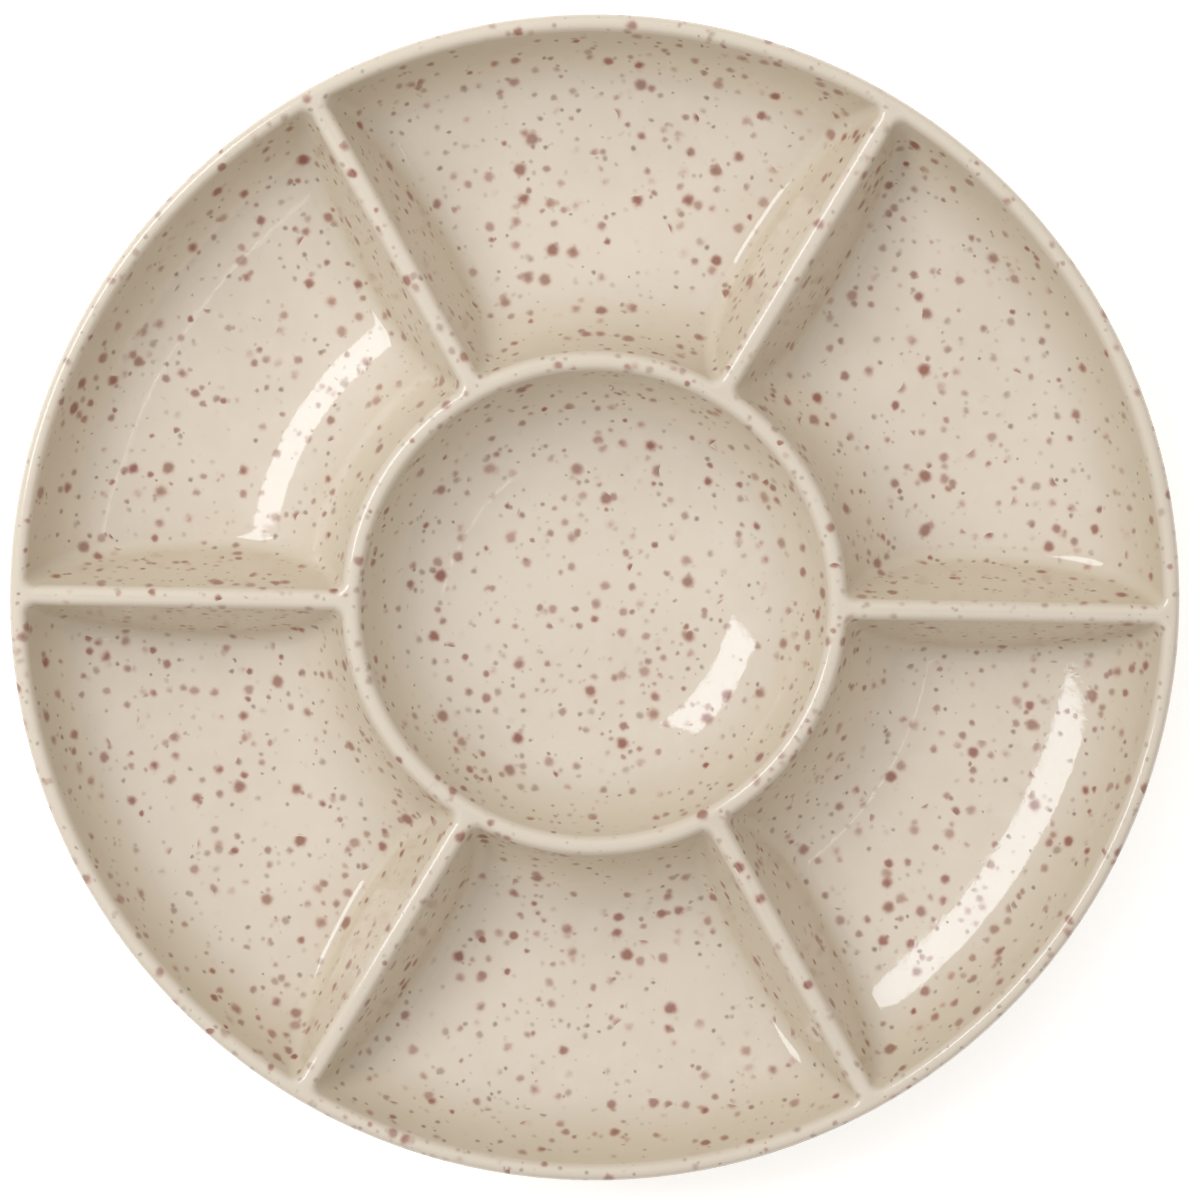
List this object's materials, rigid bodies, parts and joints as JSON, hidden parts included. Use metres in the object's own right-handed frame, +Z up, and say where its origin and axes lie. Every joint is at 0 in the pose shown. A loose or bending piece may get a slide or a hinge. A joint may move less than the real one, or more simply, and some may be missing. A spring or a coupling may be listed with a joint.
{
  "type": "chip and dip server",
  "caption": "Round glazed stoneware server with a centre dip bowl and outer wells parted by straight radial dividers.",
  "frame": {"origin": "on the table under the middle of the dish, at the centre of the foot ring's standing plane", "axes": "+Z up through the middle of the centre bowl, +X along the first divider, +Y square to it"},
  "size_m": [0.2999, 0.3, 0.037],
  "materials": {
    "glaze": "glossy warm beige glaze with reddish-brown iron speckles",
    "bare_foot": "matt unglazed buff stoneware"
  },
  "bodies": {
    "root": {"rim": "glaze", "centre_ring": "glaze", "centre_bowl": "glaze", "foot_ring": "bare_foot", "well_1": "glaze", "well_2": "glaze", "well_3": "glaze", "well_4": "glaze", "well_5": "glaze", "well_6": "glaze", "divider_1": "glaze", "divider_2": "glaze", "divider_3": "glaze", "divider_4": "glaze", "divider_5": "glaze", "divider_6": "glaze"}
  },
  "joints": []
}
